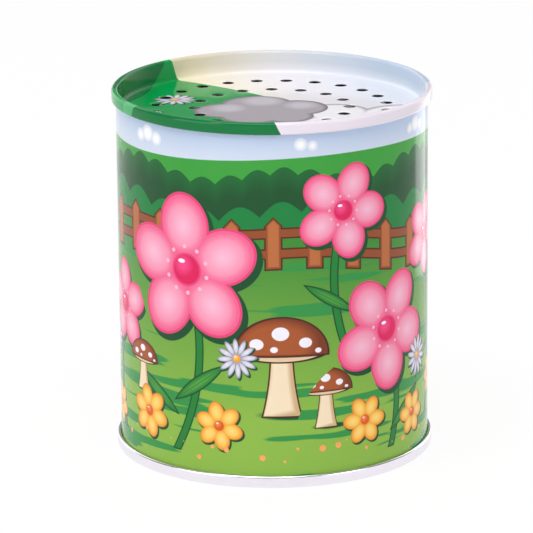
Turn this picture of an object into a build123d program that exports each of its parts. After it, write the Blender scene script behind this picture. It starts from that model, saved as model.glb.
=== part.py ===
from build123d import *

import os
from math import atan2, degrees, sin

# Animal sound maker: a printed tin can with a tilt voice sealed inside it. Turned over, a weight
# slides down a moulded cup and draws a bellows open, which fills through a flap in the cup's floor.
# Turned back, the weight sinks and drives the air past a reed into a small horn, and the sound
# leaves through the holes in the top.
#
# Millimetres, +Z up. The origin is the centre of the ring that the can stands on, and -Y is the
# front. The model is at rest: the can upright, the weight down and the bellows shut.

# Tin can: a rolled wall, and two ends joined to it by double seams
body_diameter = 64.0
can_height = 76.0
plate = 0.24
fold_gap = 0.05
top_seam_height = 2.5
base_seam_height = 2.5
crest_radius = 0.42
hook_slack = 0.1
lid_recess = 4.6
base_recess = 3.4
panel_corner = 0.9

# Side seam of the wall, folded inwards at the back, with its ends notched clear of the end panels
side_seam_width = 5.0
side_seam_layers = 2
side_seam_notch = 3.0
seam_line_width = 0.4
seam_line_depth = 0.09

# Sound holes in the top, in two rings
hole_diameter = 2.5
outer_ring_radius = 23.8
outer_ring_count = 24
inner_ring_radius = 15.9
inner_ring_count = 16

# Stiffening step in the base panel
base_step_radius = 17.0
base_step_rise = 0.7
base_step_run = 1.5
base_step_bend = 0.8

# Card rings that pack the voice tight between the two end panels
base_card_thickness = 1.0
top_card_thickness = 1.5
card_width = 5.5
card_clearance = 0.9

# Voice cup, a moulding that stands on a vented foot, with room for the sound to pass round it
cup_gap = 4.76
cup_wall = 1.2
cup_floor = 1.4
plenum_height = 2.4
flange_thickness = 1.2
unit_clearance = 0.4
vent_count = 6
vent_width = 9.0
guide_count = 6
guide_width = 1.6
guide_depth = 2.2
guide_bevel = 1.2

# Voice cap, a grille that plugs the mouth of the cup
cap_plug_depth = 2.5
cap_plug_wall = 1.2
cap_plug_clearance = 0.1
cap_slot_count = 6
cap_slot_radius = 15.5
cap_slot_width = 5.0
cap_slot_span = 36.0
cap_eye_radius = 6.0

# Inlet flap and the stud that holds it over the inlets in the cup's floor
inlet_count = 6
inlet_diameter = 3.4
inlet_ring_radius = 6.4
flap_radius = 9.5
flap_thickness = 0.3
flap_lift = 1.0
flap_eye_clearance = 0.2
stud_diameter = 4.0
stud_head_radius = 4.2
stud_head_thickness = 1.0
stud_foot_radius = 3.0
stud_foot_thickness = 0.9

# Bellows, drawn over a spigot at each end and held there by a clamp ring, clear of the guide ribs
bellows_gap = 1.6
spigot_wall = 1.2
spigot_height = 3.0
film = 0.2
pleat_count = 6
pleat_pitch = 1.2
pleat_depth = 4.2
clamp_wall = 1.4
clamp_height = 2.4
clamp_bevel = 0.4

# Weight, its carrier and the rubber ring that cushions the end of the stroke
carrier_plate = 1.4
carrier_wall = 1.2
carrier_rim = 5.0
slide_clearance = 0.3
wind_hole_radius = 6.5
weight_height = 15.0
weight_clearance = 0.15
weight_bore_radius = 7.5
weight_chamfer = 0.8
socket_seat_radius = 10.6
socket_seat_depth = 5.0
bump_inset = 1.0
bump_width = 4.0
bump_thickness = 4.0
bump_round = 0.8
stop_gap = 0.3

# Reed: a shallot, a tongue and a wedge, all held in the bore of a socket
socket_flange = 1.5
socket_spigot = 3.0
shallot_radius = 3.0
shallot_face = 0.8
shallot_free_length = 9.5
shallot_bore_radius = 1.2
shallot_bore_offset = 0.9
window_width = 1.6
window_length = 5.5
window_end = 1.6
face_relief = 0.45
tongue_thickness = 0.15
tongue_width = 3.4
tongue_free_length = 8.6
wedge_head = 0.6

# Horn on the socket
horn_foot_radius = 6.0
horn_foot_thickness = 1.0
horn_throat_radius = 1.8
horn_neck_height = 2.2
horn_mouth_radius = 8.6
horn_height = 6.5
horn_wall = 0.8

# Fits: glued or pressed pieces clear each other by the first, and cuts overrun by the second
fit_clearance = 0.05
overrun = 1.0

# Radii of the five sheets in a double seam, at mid-thickness, from the inside out
layer = plate + fold_gap
wall_mid = body_diameter / 2 - plate / 2
body_inner = body_diameter / 2 - plate
chuck_mid = wall_mid - layer
cover_hook_mid = wall_mid + layer
body_hook_mid = wall_mid + 2 * layer
seam_wall_mid = wall_mid + 3 * layer

# Heights of the pieces, stacked from the base
base_panel_top = base_recess + plate
unit_foot = base_panel_top + base_card_thickness
floor_low = unit_foot + plenum_height
floor_top = floor_low + cup_floor
pleats_low = floor_top + spigot_height
pleats_high = pleats_low + pleat_count * pleat_pitch
carrier_low = pleats_high + spigot_height
weight_low = carrier_low + carrier_plate
weight_high = weight_low + weight_height
socket_seat = weight_high - socket_seat_depth
socket_top = socket_seat + socket_flange
socket_low = socket_seat - socket_spigot
shallot_tip = socket_low - shallot_free_length
bump_high = weight_high + bump_thickness
lid_panel_low = can_height - lid_recess - plate
cap_high = lid_panel_low - top_card_thickness
cap_low = cap_high - flange_thickness
stroke = cap_low - stop_gap - bump_high

# Radii that one piece takes from another
cup_outer = body_inner - cup_gap
cup_inner = cup_outer - cup_wall
flange_outer = body_inner - unit_clearance
guide_inner = cup_inner - guide_depth
carrier_outer = guide_inner - slide_clearance
weight_outer = carrier_outer - carrier_wall - weight_clearance
bump_outer = weight_outer - bump_inset
fold_reach = film / 2 / sin(atan2(pleat_pitch / 2, pleat_depth))
collar_mid = guide_inner - bellows_gap - fold_reach - pleat_depth
spigot_radius = collar_mid - film / 2 - fit_clearance
clamp_inner = collar_mid + film / 2 + fit_clearance
socket_bore = shallot_radius + fit_clearance
wedge_face = shallot_face + tongue_thickness + 2 * fit_clearance
stud_radius = stud_diameter / 2


def turned(section):
    """Solid of revolution about the can's axis, from a section drawn as radius and height."""
    return revolve(Plane.XZ * section, axis=Axis.Z)


def ring(inner, outer, low, high):
    """Flat ring, or a disc where the inner radius is zero, between two heights."""
    section = Pos((inner + outer) / 2, (low + high) / 2) * Rectangle(outer - inner, high - low)
    return turned(section)


def sheet(edges, gauge):
    """Section of a sheet whose middle runs along these joined edges."""
    return trace(edges, line_width=gauge)


def half_turn(start, end, rise):
    """Half circle from one radius to another at one height, bulging by its own radius up or down."""
    middle = (start[0] + end[0]) / 2
    bulge = abs(end[0] - start[0]) / 2 * rise
    return ThreePointArc(start, (middle, start[1] + bulge), end)


def end_plate(panel, panel_bends, crest, seam_height, up):
    """Drawn can end: panel, chuck wall, seam crest, seam wall and the cover hook folded inside it.

    The panel's points run outwards from the axis. Up is 1 where the seam's crest is the top of
    the can, and -1 where it is the bottom.
    """
    panel_z = panel[-1][1]
    crest_mid = crest - up * plate / 2
    fold = crest - up * (seam_height - plate / 2 - layer)
    hook_end = crest_mid - up * (2 * layer + hook_slack)
    outline = FilletPolyline(
        *panel,
        (chuck_mid, panel_z),
        (chuck_mid, crest_mid),
        (seam_wall_mid, crest_mid),
        (seam_wall_mid, fold),
        radius=[*panel_bends, panel_corner, crest_radius, crest_radius],
    )
    curl = half_turn((seam_wall_mid, fold), (cover_hook_mid, fold), -up)
    hook = Line((cover_hook_mid, fold), (cover_hook_mid, hook_end))
    return turned(sheet([*outline.edges(), curl.edge(), hook.edge()], plate))


def body_hook(crest, seam_height, up):
    """Edges of the wall's own hook at one end: the turn under the crest, then the hook."""
    bend = crest - up * (plate / 2 + 2 * layer)
    hook_end = crest - up * (seam_height - plate / 2 - layer - hook_slack)
    turn = half_turn((wall_mid, bend), (body_hook_mid, bend), up)
    return [turn.edge(), Line((body_hook_mid, bend), (body_hook_mid, hook_end)).edge()], bend


def back_strip(inner, outer, width, low, high, offset):
    """Curved strip on the back of the wall, its middle that far along the wall from dead back."""
    arc = degrees(width / wall_mid)
    start = degrees(offset / wall_mid) - arc / 2
    section = Pos((inner + outer) / 2, (low + high) / 2) * Rectangle(outer - inner, high - low)
    strip = revolve(Plane.XZ * section, axis=Axis.Z, revolution_arc=arc)
    return Rot(Z=90 + start) * strip


def make_can_body():
    """Rolled tinplate wall with a hook at each end and a folded side seam at the back."""
    top_edges, top_bend = body_hook(can_height, top_seam_height, 1)
    base_edges, base_bend = body_hook(0, base_seam_height, -1)
    wall = Line((wall_mid, base_bend), (wall_mid, top_bend)).edge()
    body = turned(sheet([*top_edges, wall, *base_edges], plate))
    fold_inner = body_inner - side_seam_layers * plate
    fold_low = base_panel_top + side_seam_notch
    fold_high = lid_panel_low - side_seam_notch
    body += back_strip(fold_inner, wall_mid, side_seam_width, fold_low, fold_high, 0)
    groove_inner = body_diameter / 2 - seam_line_depth
    groove_outer = cover_hook_mid - plate / 2
    low = base_seam_height
    high = can_height - top_seam_height
    line_offset = (side_seam_width - seam_line_width) / 2
    return body - back_strip(groove_inner, groove_outer, seam_line_width, low, high, line_offset)


def hole_ring(radius, count, start):
    """Ring of sound holes, as solids to cut."""
    middle = lid_panel_low + plate / 2
    cutter = Cylinder(hole_diameter / 2, plate + 2 * overrun)
    return [Pos(Z=middle) * place * cutter for place in PolarLocations(radius, count, start)]


def make_perforated_top():
    """Printed top end: a sunk panel with two rings of punched holes. One inner hole is dead back."""
    panel_mid = lid_panel_low + plate / 2
    top = end_plate([(0, panel_mid)], [], can_height, top_seam_height, 1)
    outer_start = 90 + 180 / outer_ring_count
    holes = hole_ring(outer_ring_radius, outer_ring_count, outer_start)
    holes += hole_ring(inner_ring_radius, inner_ring_count, 90)
    return top - holes


def make_base_end():
    """Plain base end, its panel sunk above the standing ring and stepped up in the middle."""
    panel_mid = base_panel_top - plate / 2
    raised = panel_mid + base_step_rise
    panel = [
        (0, raised),
        (base_step_radius - base_step_run, raised),
        (base_step_radius, panel_mid),
    ]
    return end_plate(panel, [base_step_bend, base_step_bend], 0, base_seam_height, -1)


def make_card(low, thickness):
    """Punched card ring at the edge of an end panel."""
    outer = body_inner - card_clearance
    return ring(outer - card_width, outer, low, low + thickness)


def make_voice_cup():
    """Moulded cup: vented foot, floor with inlets and bellows spigot, and ribs that guide the weight."""
    spigot_inner = spigot_radius - spigot_wall
    outline = Polyline(
        (0, floor_low),
        (cup_inner, floor_low),
        (cup_inner, unit_foot),
        (flange_outer, unit_foot),
        (flange_outer, unit_foot + flange_thickness),
        (cup_outer, unit_foot + flange_thickness),
        (cup_outer, cap_low),
        (cup_inner, cap_low),
        (cup_inner, floor_top),
        (spigot_radius, floor_top),
        (spigot_radius, pleats_low),
        (spigot_inner, pleats_low),
        (spigot_inner, floor_top),
        (0, floor_top),
        close=True,
    )
    cup = turned(make_face(outline))
    guide_top = cap_low - cap_plug_depth - fit_clearance
    guide_root = cup_inner + cup_wall / 2
    rib = Polyline(
        (guide_inner, floor_top),
        (guide_root, floor_top),
        (guide_root, guide_top),
        (guide_inner + guide_bevel, guide_top),
        (guide_inner, guide_top - guide_bevel),
        close=True,
    )
    guide = extrude(Plane.XZ * make_face(rib), guide_width / 2, both=True)
    cup += [place * guide for place in PolarLocations(0, guide_count)]
    vent_length = flange_outer - cup_inner + 2 * overrun
    vent = Box(vent_length, vent_width, plenum_height, align=(Align.MIN, Align.CENTER, Align.MIN))
    vent_start = 180 / vent_count
    vents = PolarLocations(cup_inner - overrun, vent_count, vent_start)
    cup -= [Pos(Z=unit_foot) * place * vent for place in vents]
    floor_mid = floor_low + cup_floor / 2
    inlet = Cylinder(inlet_diameter / 2, cup_floor + 2 * overrun)
    cup -= [Pos(Z=floor_mid) * place * inlet for place in PolarLocations(inlet_ring_radius, inlet_count)]
    cup -= Pos(Z=floor_mid) * Cylinder(stud_radius + fit_clearance, cup_floor + 2 * overrun)
    return cup


def make_voice_cap():
    """Grille cap: a flange that centres it in the can, a plug in the cup's mouth, and sound slots."""
    plug_outer = cup_inner - cap_plug_clearance
    cap = ring(0, flange_outer, cap_low, cap_high)
    cap += ring(plug_outer - cap_plug_wall, plug_outer, cap_low - cap_plug_depth, cap_low)
    slot_arc = CenterArc((0, 0), cap_slot_radius, -cap_slot_span / 2, cap_slot_span)
    slot_depth = flange_thickness + 2 * overrun
    slot = extrude(Pos(Z=cap_low - overrun) * SlotArc(slot_arc, cap_slot_width), slot_depth)
    cap -= [place * slot for place in PolarLocations(0, cap_slot_count)]
    cap -= Pos(Z=cap_low + flange_thickness / 2) * Cylinder(cap_eye_radius, slot_depth)
    return cap


def make_inlet_flap():
    """Film disc that lies over the inlets and lifts off them as the bellows opens."""
    return ring(stud_radius + flap_eye_clearance, flap_radius, floor_top, floor_top + flap_thickness)


def make_flap_stud():
    """Moulded stud: a head over the flap, a shank through flap and floor, and a foot below."""
    head_low = floor_top + flap_thickness + flap_lift + fit_clearance
    foot_low = floor_low - stud_foot_thickness
    stud = ring(0, stud_radius, floor_low, head_low)
    stud += ring(0, stud_head_radius, head_low, head_low + stud_head_thickness)
    stud += ring(0, stud_foot_radius, foot_low, floor_low)
    return stud


def make_bellows():
    """Pleated film tube, shut, with a collar at each end. Its creases reach past the film's mid-line."""
    collar_outer = collar_mid + film / 2
    collar_inner = collar_mid - film / 2
    fold_mid = collar_mid + pleat_depth
    outside = [(collar_outer, floor_top), (collar_outer, pleats_low)]
    inside = [(collar_inner, floor_top), (collar_inner, pleats_low)]
    for pleat in range(pleat_count):
        fold = pleats_low + (pleat + 0.5) * pleat_pitch
        crease = pleats_low + (pleat + 1) * pleat_pitch
        outside += [(fold_mid + fold_reach, fold), (collar_mid + fold_reach, crease)]
        inside += [(fold_mid - fold_reach, fold), (collar_mid - fold_reach, crease)]
    outside[-1] = (collar_outer, pleats_high)
    inside[-1] = (collar_inner, pleats_high)
    outside.append((collar_outer, carrier_low))
    inside.append((collar_inner, carrier_low))
    return turned(make_face(Polyline(*outside, *reversed(inside), close=True)))


def make_clamp_ring(low, bevelled):
    """Ring that grips a bellows collar, bevelled on the outer edge that faces the pleats."""
    clamp = ring(clamp_inner, clamp_inner + clamp_wall, low, low + clamp_height)
    edges = clamp.edges().filter_by(GeomType.CIRCLE).group_by(Axis.Z)[bevelled]
    return chamfer(edges.sort_by(SortBy.RADIUS)[-1], clamp_bevel)


def make_weight_carrier():
    """Moulded tray: the weight sits in it, the bellows hangs from its spigot, the guides centre it."""
    spigot_inner = spigot_radius - spigot_wall
    rim_inner = carrier_outer - carrier_wall
    outline = Polyline(
        (wind_hole_radius, carrier_low),
        (spigot_inner, carrier_low),
        (spigot_inner, pleats_high),
        (spigot_radius, pleats_high),
        (spigot_radius, carrier_low),
        (carrier_outer, carrier_low),
        (carrier_outer, weight_low + carrier_rim),
        (rim_inner, weight_low + carrier_rim),
        (rim_inner, weight_low),
        (wind_hole_radius, weight_low),
        close=True,
    )
    return turned(make_face(outline))


def make_weight():
    """Cast block, bored for the reed and counterbored for its socket and horn."""
    block = ring(weight_bore_radius, weight_outer, weight_low, weight_high)
    block -= ring(0, socket_seat_radius, socket_seat, weight_high + overrun)
    rims = block.edges().filter_by(GeomType.CIRCLE).group_by(SortBy.RADIUS)[-1]
    return chamfer(rims, weight_chamfer)


def make_bump_ring():
    """Rubber ring on the weight that meets the cap when the can is turned over."""
    bump = ring(bump_outer - bump_width, bump_outer, weight_high, bump_high)
    rims = bump.edges().filter_by(GeomType.CIRCLE).group_by(Axis.Z)[-1]
    return fillet(rims, bump_round)


def make_reed_socket():
    """Disc that stops the weight's bore, with a spigot below and a bore for the reed."""
    flange_radius = socket_seat_radius - fit_clearance
    spigot_outer = weight_bore_radius - fit_clearance
    socket = ring(socket_bore, flange_radius, socket_seat, socket_top)
    return socket + ring(socket_bore, spigot_outer, socket_low, socket_seat)


def face_block(near, low, high):
    """Everything of the reed's bore beyond a flat that far from the axis, as a solid to cut with."""
    size = 2 * socket_bore
    block = Box(size, size, high - low, align=(Align.MIN, Align.CENTER, Align.MIN))
    return Pos(near, 0, low) * block


def make_shallot():
    """D-shaped tube with a blind tip, cut back from the tongue below the socket, with a window."""
    length = socket_top - shallot_tip
    shallot = ring(0, shallot_radius, shallot_tip, socket_top)
    shallot -= face_block(shallot_face, shallot_tip - overrun, socket_top + overrun)
    relief = Polyline(
        (shallot_face, socket_low),
        (shallot_face, shallot_tip),
        (shallot_face - face_relief, shallot_tip),
        close=True,
    )
    shallot -= extrude(Plane.XZ * make_face(relief), shallot_radius, both=True)
    bore_low = shallot_tip + window_end
    bore = Cylinder(shallot_bore_radius, length, align=(Align.CENTER, Align.CENTER, Align.MIN))
    shallot -= Pos(-shallot_bore_offset, 0, bore_low) * bore
    window_depth = shallot_face + shallot_bore_offset
    window = Box(window_depth, window_width, window_length, align=(Align.MIN, Align.CENTER, Align.MIN))
    return shallot - Pos(-shallot_bore_offset, 0, bore_low) * window


def make_reed_tongue():
    """Brass strip gripped in the socket, its free end standing off the shallot's face."""
    low = socket_low - tongue_free_length
    length = socket_top - low
    strip = Box(tongue_thickness, tongue_width, length, align=(Align.MIN, Align.CENTER, Align.MIN))
    return Pos(shallot_face + fit_clearance, 0, low) * strip


def make_reed_wedge():
    """Slip of plastic that grips the tongue's root against the shallot, with a head to press on."""
    wedge = ring(0, shallot_radius, socket_low, socket_top + wedge_head)
    beyond = face_block(wedge_face, socket_low - overrun, socket_top + wedge_head + overrun)
    return wedge & beyond


def make_horn():
    """Small flared horn that stands over the reed, on a foot with room inside for the wedge's head."""
    neck_mid = shallot_radius + fit_clearance + horn_wall / 2
    neck_top = socket_top + horn_neck_height
    neck = Line((neck_mid, socket_top), (neck_mid, neck_top))
    bell = TangentArc((neck_mid, neck_top), (horn_mouth_radius, socket_top + horn_height), tangent=(0, 1))
    horn = turned(sheet([neck.edge(), bell.edge()], horn_wall))
    horn += ring(neck_mid, horn_foot_radius, socket_top, socket_top + horn_foot_thickness)
    throat_low = neck_top - horn_wall
    return horn + ring(horn_throat_radius, neck_mid, throat_low, neck_top)


pieces = {
    "can_body": make_can_body(),
    "perforated_top": make_perforated_top(),
    "base_end": make_base_end(),
    "base_card": make_card(base_panel_top, base_card_thickness),
    "top_card": make_card(cap_high, top_card_thickness),
    "voice_cup": make_voice_cup(),
    "voice_cap": make_voice_cap(),
    "inlet_flap": make_inlet_flap(),
    "flap_stud": make_flap_stud(),
    "bellows": make_bellows(),
    "bellows_base_ring": make_clamp_ring(floor_top, -1),
    "bellows_head_ring": make_clamp_ring(carrier_low - clamp_height, 0),
    "weight_carrier": make_weight_carrier(),
    "weight": make_weight(),
    "bump_ring": make_bump_ring(),
    "reed_socket": make_reed_socket(),
    "reed_shallot": make_shallot(),
    "reed_tongue": make_reed_tongue(),
    "reed_wedge": make_reed_wedge(),
    "horn": make_horn(),
}

os.makedirs("parts", exist_ok=True)
for name, piece in pieces.items():
    export_step(piece, os.path.join("parts", name + ".step"))

print("stroke of the weight", round(stroke, 2))
print("tongue hinge at x", round(shallot_face + fit_clearance, 3), "z", round(socket_low, 2))
print("floor of the cup", round(floor_top, 2), "lid panel", round(lid_panel_low + plate, 2))
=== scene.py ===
from math import cos, hypot, pi, radians, sin, tan, tau

import bmesh
import bpy
from mathutils import Matrix, Vector, noise


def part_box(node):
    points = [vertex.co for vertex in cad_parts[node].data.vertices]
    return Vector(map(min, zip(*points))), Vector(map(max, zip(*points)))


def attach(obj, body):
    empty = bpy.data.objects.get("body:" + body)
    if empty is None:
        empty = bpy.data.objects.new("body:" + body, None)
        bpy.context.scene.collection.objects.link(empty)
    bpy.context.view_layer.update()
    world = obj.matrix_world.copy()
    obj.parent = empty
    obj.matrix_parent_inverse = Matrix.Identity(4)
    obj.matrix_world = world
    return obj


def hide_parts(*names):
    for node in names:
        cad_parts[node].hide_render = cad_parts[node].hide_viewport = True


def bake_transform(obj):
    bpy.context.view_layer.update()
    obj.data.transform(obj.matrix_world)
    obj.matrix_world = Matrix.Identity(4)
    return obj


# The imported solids, in metres: the can stands on z = 0, and its front faces -Y.
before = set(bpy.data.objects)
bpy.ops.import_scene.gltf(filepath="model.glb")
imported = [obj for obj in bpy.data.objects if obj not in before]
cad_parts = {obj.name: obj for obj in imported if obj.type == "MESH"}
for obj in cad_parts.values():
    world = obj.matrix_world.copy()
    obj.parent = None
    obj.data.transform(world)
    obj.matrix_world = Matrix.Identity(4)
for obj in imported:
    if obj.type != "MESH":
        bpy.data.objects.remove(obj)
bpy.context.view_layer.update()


# Base end: bright tinplate, stamped with a stiffening step and rolled on to the wall as a double seam.
# The can stands on the crest of that seam. At the back, the wall's side seam makes the roll droop a little.
plate = 0.00024
layer = 0.00029
wall_radius = 0.032
chuck_radius = wall_radius - plate / 2 - layer
hook_radius = wall_radius - plate / 2 + layer
seam_radius = wall_radius - plate / 2 + 3 * layer
crest_bend = 0.00055
panel_bend = 0.0009
hook_bend = 0.99 * layer
hook_gap = 2.5 * layer
base_seam_height = 0.0025
base_panel_low = 0.0034
base_step_radius = 0.017
base_step_run = 0.0015
base_step_rise = 0.0007
base_step_bend = 0.0008
side_seam_width = 0.005
side_swell_width = 1.6 * side_seam_width
seam_droop = 0.00022
seam_swell = 0.00006
wrinkle_depth = 0.00002
wrinkle_pitch = 0.004
bend_steps = 7
round_steps = 240
sharp_angle = radians(40)
weld_reach = 1e-7
least_edge = 1e-8


def rounded(corners, bends):
    """Points of a line through these corners, each inner corner rounded to its bend radius."""
    points = [Vector(corners[0])]
    for i, bend in enumerate(bends, 1):
        corner = Vector(corners[i])
        back = (Vector(corners[i - 1]) - corner).normalized()
        ahead = (Vector(corners[i + 1]) - corner).normalized()
        half = back.angle(ahead) / 2
        middle = corner + (back + ahead).normalized() * (bend / sin(half))
        first = corner + back * (bend / tan(half)) - middle
        turned = first.angle_signed(corner + ahead * (bend / tan(half)) - middle)
        for step in range(bend_steps + 1):
            points.append(middle + Matrix.Rotation(-turned * step / bend_steps, 2) @ first)
    points.append(Vector(corners[-1]))
    return points


def sheet_outline(line, gauge):
    """Both faces of a sheet whose middle runs along a line: out along the left face, back along the right."""
    left = []
    right = []
    for i, point in enumerate(line):
        ahead = line[min(i + 1, len(line) - 1)] - line[max(i - 1, 0)]
        across = Vector((-ahead.y, ahead.x)).normalized() * (gauge / 2)
        left.append(point + across)
        right.append(point - across)
    return left + right[::-1]


def smooth_piece(name, mesh):
    """A piece from a bmesh: joined where its points meet, faces outward, smooth but for its sharp edges."""
    bmesh.ops.remove_doubles(mesh, verts=mesh.verts, dist=weld_reach)
    bmesh.ops.dissolve_degenerate(mesh, edges=mesh.edges, dist=least_edge)
    bmesh.ops.recalc_face_normals(mesh, faces=mesh.faces)
    data = bpy.data.meshes.new(name)
    mesh.to_mesh(data)
    mesh.free()
    data.shade_smooth()
    data.set_sharp_from_angle(angle=sharp_angle)
    piece = bpy.data.objects.new(name, data)
    bpy.context.scene.collection.objects.link(piece)
    return piece


def turn(mesh, outline, angles, shape, closed):
    """Adds an outline of radius and height to a bmesh, turned about the axis and shaped at each angle."""
    rings = []
    for radius, height in outline:
        ring = []
        for angle in angles:
            reach, level = shape(angle, radius, height)
            ring.append(mesh.verts.new((reach * cos(angle), reach * sin(angle), level)))
        rings.append(ring)
    if closed:
        rings.append(rings[0])
    for low, high in zip(rings, rings[1:]):
        for i in range(len(angles)):
            mesh.faces.new((low[i - 1], low[i], high[i], high[i - 1]))


def round_angles(extra=()):
    """Even steps round the can, with extra ones where a fine feature needs them."""
    return sorted({tau * step / round_steps for step in range(round_steps)} | set(extra))


def from_back(angle):
    """Distance round the wall from the middle of its side seam, dead back."""
    turned = (angle - pi / 2 + pi) % tau - pi
    return turned * wall_radius


def bell(distance, width):
    """A smooth hump: 1 at no distance, and 0 from half the width outwards."""
    share = min(abs(distance) / (width / 2), 1)
    return (1 + cos(pi * share)) / 2


def rolled(crest, seam_height, up):
    """Shape of a rolled seam: fine wrinkles on its outer wall, and the swell and droop at the side seam."""
    def shape(angle, radius, height):
        if radius < wall_radius:
            return radius, height
        place = Vector((cos(angle), sin(angle), 0)) * (wall_radius / wrinkle_pitch)
        hump = bell(from_back(angle), side_swell_width)
        fold_share = min(abs(height - crest) / seam_height, 1)
        reach = radius + wrinkle_depth * noise.noise(place) + seam_swell * hump
        return reach, height - up * seam_droop * hump * fold_share
    return shape


def end_line(panel, panel_bends, crest, seam_height, up):
    """Middle of an end's sheet: panel, chuck wall, crest, seam wall and the hook folded back inside it."""
    crest_mid = crest - up * plate / 2
    fold = crest - up * (seam_height - plate / 2)
    hook_end = crest_mid - up * hook_gap
    corners = [
        *panel,
        (chuck_radius, panel[-1][1]),
        (chuck_radius, crest_mid),
        (seam_radius, crest_mid),
        (seam_radius, fold),
        (hook_radius, fold),
        (hook_radius, hook_end),
    ]
    return rounded(corners, [*panel_bends, panel_bend, crest_bend, crest_bend, hook_bend, hook_bend])


base_mid = base_panel_low + plate / 2
base_panel = [
    (0, base_mid + base_step_rise),
    (base_step_radius - base_step_run, base_mid + base_step_rise),
    (base_step_radius, base_mid),
]
base_line = end_line(base_panel, [base_step_bend, base_step_bend], 0, base_seam_height, -1)
base_mesh = bmesh.new()
turn(base_mesh, sheet_outline(base_line, plate), round_angles(), rolled(0, base_seam_height, -1), False)
base_end = smooth_piece("tin_base", base_mesh)


class Field:
    """A number, colour or vector that changes over a surface: one shader socket, worked on by operators."""

    def __init__(self, tree, socket=None):
        self.tree = tree
        self.socket = socket

    def node(self, kind, settings, sockets, output=0):
        """A new node with these settings and sockets, as a field on one of its outputs, if it has any."""
        made = self.tree.nodes.new("ShaderNode" + kind)
        for name, value in settings.items():
            setattr(made, name, value)
        for key, value in sockets.items():
            if isinstance(value, Field):
                self.tree.links.new(value.socket, made.inputs[key])
            else:
                made.inputs[key].default_value = value
        return Field(self.tree, made.outputs[output]) if made.outputs else None

    def math(self, operation, *values):
        """A Math node on these numbers."""
        return self.node("Math", {"operation": operation}, dict(enumerate(values)))

    def vector(self, operation, *values, output=0):
        """A Vector Math node on these vectors."""
        return self.node("VectorMath", {"operation": operation}, dict(enumerate(values)), output)

    def __add__(self, other):
        return self.math("ADD", self, other)

    def __radd__(self, other):
        return self.math("ADD", other, self)

    def __sub__(self, other):
        return self.math("SUBTRACT", self, other)

    def __rsub__(self, other):
        return self.math("SUBTRACT", other, self)

    def __mul__(self, other):
        return self.math("MULTIPLY", self, other)

    def __rmul__(self, other):
        return self.math("MULTIPLY", other, self)

    def __truediv__(self, other):
        return self.math("DIVIDE", self, other)

    def __abs__(self):
        return self.math("ABSOLUTE", self)

    def least(self, other):
        return self.math("MINIMUM", self, other)

    def most(self, other):
        return self.math("MAXIMUM", self, other)

    def below(self, edge, soft):
        """A mask, from 1 or more under the edge to 0 or less past it, crossing over the softness."""
        return self.math("MULTIPLY_ADD", self, -1 / soft, edge / soft + 0.5)

    def above(self, edge, soft):
        """A mask, from 1 or more over the edge to 0 or less under it, crossing over the softness."""
        return self.math("MULTIPLY_ADD", self, 1 / soft, 0.5 - edge / soft)

    def held(self):
        """This, kept from 0 to 1."""
        return self.node("Clamp", {}, {0: self})

    def tint(self, low, high):
        """A colour that goes from one to another as this goes from 0 to 1."""
        return self.node("Mix", {"data_type": "RGBA"}, {0: self, 6: low, 7: high}, 2)

    def noise(self, scale, detail):
        """Cloudy noise from about 0.3 to 0.7, at this place, with so many waves to a metre."""
        return self.node("TexNoise", {}, {"Vector": self, "Scale": scale, "Detail": detail})

    def bump(self, distance):
        """Surface direction for this height, which spans 0 to 1 over a distance in metres."""
        return self.node("Bump", {}, {"Strength": 1.0, "Distance": distance, "Height": self})


def new_finish(name):
    """A new material, and a field to draw its nodes with."""
    material = bpy.data.materials.new(name)
    material.use_nodes = True
    material.node_tree.nodes.clear()
    return material, Field(material.node_tree)


def place_on(field):
    """Where a point lies on the object at rest, in metres."""
    return field.node("TexCoord", {}, {}, 3)


def parts(vector):
    """The three numbers of a vector."""
    split = vector.node("SeparateXYZ", {}, {0: vector}).socket.node
    return [Field(vector.tree, number) for number in split.outputs]


def finish_with(field, sockets):
    """Ends a material in one Principled surface with these sockets."""
    shader = field.node("BsdfPrincipled", {}, sockets)
    field.node("OutputMaterial", {}, {"Surface": shader})


def wear_finish(piece, material):
    """Gives a piece, or a solid of the frame, this material alone."""
    piece.data.materials.clear()
    piece.data.materials.append(material)


def ink(red, green, blue):
    """A colour from its 0 to 255 screen levels, in Blender's linear ones."""
    def linear(level):
        share = level / 255
        return share / 12.92 if share <= 0.04045 else ((share + 0.055) / 1.055) ** 2.4
    return linear(red), linear(green), linear(blue), 1


tin_bright = ink(243, 238, 246)
tin_dull = ink(237, 232, 241)
tin_spangle = 420
tin_streak = (240, 240, 1500)
tin_relief = 0.000002


def tin_look(place):
    """Colour, roughness and height of bare tinplate: spangled, with streaks from the rolls."""
    spangle = place.noise(tin_spangle, 4)
    streaks = place.vector("MULTIPLY", place, tin_streak).noise(1, 3)
    dulled = (spangle * 0.5 + streaks * 0.5).above(0.5, 0.4)
    return dulled.tint(tin_bright, tin_dull), streaks * 0.16 + 0.16, streaks


tin_finish, tin = new_finish("bare_tin")
tin_colour, tin_roughness, tin_height = tin_look(place_on(tin))
finish_with(tin, {
    "Base Color": tin_colour,
    "Metallic": 1.0,
    "Roughness": tin_roughness,
    "Normal": tin_height.bump(tin_relief),
})
wear_finish(base_end, tin_finish)
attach(base_end, "casing")
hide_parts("base_end")


# Card rings: punched from grey board, they pack the voice tight between the two ends of the can.
# The board shows its fibres and flecks of darker pulp. The top ring is painted near black as painted
# shade, so that the sound holes look dark.
fibre_scale = (2600, 2600, 900)
fleck_scale = 1800
board_fuzz = 0.00005


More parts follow.
